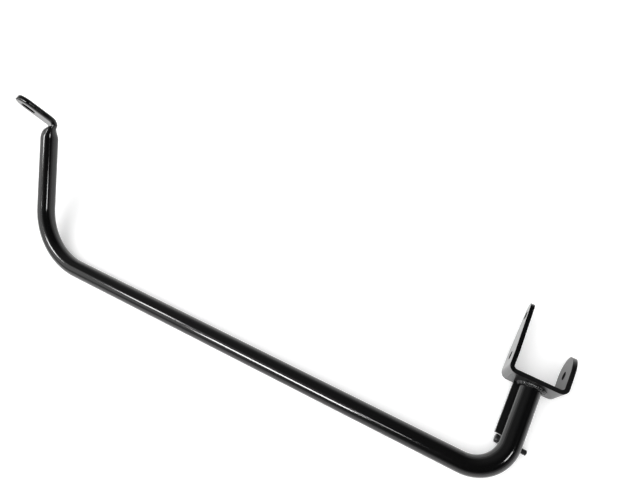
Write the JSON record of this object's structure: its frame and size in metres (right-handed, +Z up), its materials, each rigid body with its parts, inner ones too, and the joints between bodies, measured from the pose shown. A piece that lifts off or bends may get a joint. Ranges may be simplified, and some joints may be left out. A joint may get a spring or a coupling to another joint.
{
  "type": "motorcycle pannier rail",
  "caption": "Bent steel side rail for a motorcycle bag, with a crushed and slotted eye at the front and a welded folded U bracket at the rear.",
  "frame": {"origin": "centre of the bolt hole in the bracket's round lug, at the middle of the plate's thickness", "axes": "+X along the long run of tube towards the bracket end, +Y from the long run towards the bracket's open side, +Z up"},
  "size_m": [0.6428, 0.1855, 0.1198],
  "materials": {
    "tube_paint": "gloss",
    "plate_paint": "gloss",
    "weld_paint": "gloss",
    "pin_paint": "gloss"
  },
  "bodies": {
    "root": {"rail": "tube_paint", "bracket": "plate_paint", "web_weld": "weld_paint", "strap": "plate_paint", "strap_welds": "weld_paint", "cross_pin": "pin_paint", "pin_weld": "weld_paint"}
  },
  "joints": []
}
